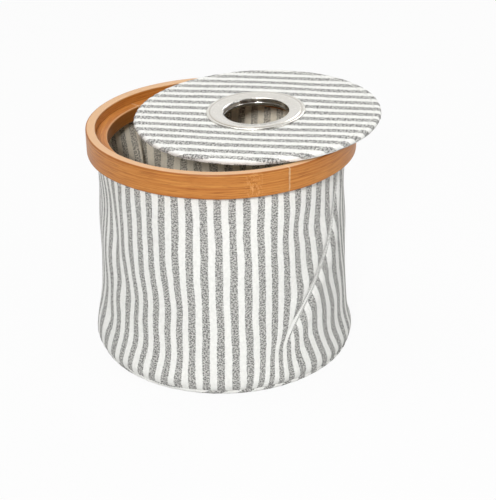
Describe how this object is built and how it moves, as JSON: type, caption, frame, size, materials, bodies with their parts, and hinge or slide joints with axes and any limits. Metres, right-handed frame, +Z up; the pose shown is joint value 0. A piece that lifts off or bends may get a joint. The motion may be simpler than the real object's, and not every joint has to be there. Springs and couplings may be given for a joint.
{
  "type": "yarn dispenser bag",
  "caption": "Round striped canvas yarn bag with a bamboo hoop rim and a loose cloth-covered lid, holed by a metal eyelet that feeds the yarn.",
  "frame": {"origin": "centre of the base, on the surface it stands on", "axes": "+Z up, -Y is the front seen in the picture, +X to its right, the way the loose lid is pushed"},
  "size_m": [0.1809, 0.1658, 0.1519],
  "materials": {
    "bamboo": "clear lacquered bamboo",
    "striped_canvas": "woven cotton, grey melange and off-white stripes",
    "greyboard": "matt pressed board",
    "eyelet_metal": "polished nickel plate"
  },
  "bodies": {
    "bag": {"base_canvas": "striped_canvas", "base_board": "greyboard", "base_lining": "striped_canvas", "wall_canvas": "striped_canvas", "wall_lining": "striped_canvas"},
    "rim": {"outer_hoop": "bamboo", "inner_hoop": "bamboo", "wall_hem": "striped_canvas"},
    "lid": {"lid_top_cloth": "striped_canvas", "lid_board": "greyboard", "lid_under_cloth": "striped_canvas", "eyelet_face": "eyelet_metal", "eyelet_washer": "eyelet_metal"}
  },
  "joints": [
    {"name": "rim_collapse", "type": "slide", "parent": "bag", "child": "rim", "axis": [0, 0, 1], "range_m": [-0.1, 0], "deforming": ["wall_canvas", "wall_lining"]},
    {"name": "lid_lift", "type": "slide", "parent": "rim", "child": "lid", "axis": [0, 0, 1], "range_m": [0, 0.12]}
  ]
}
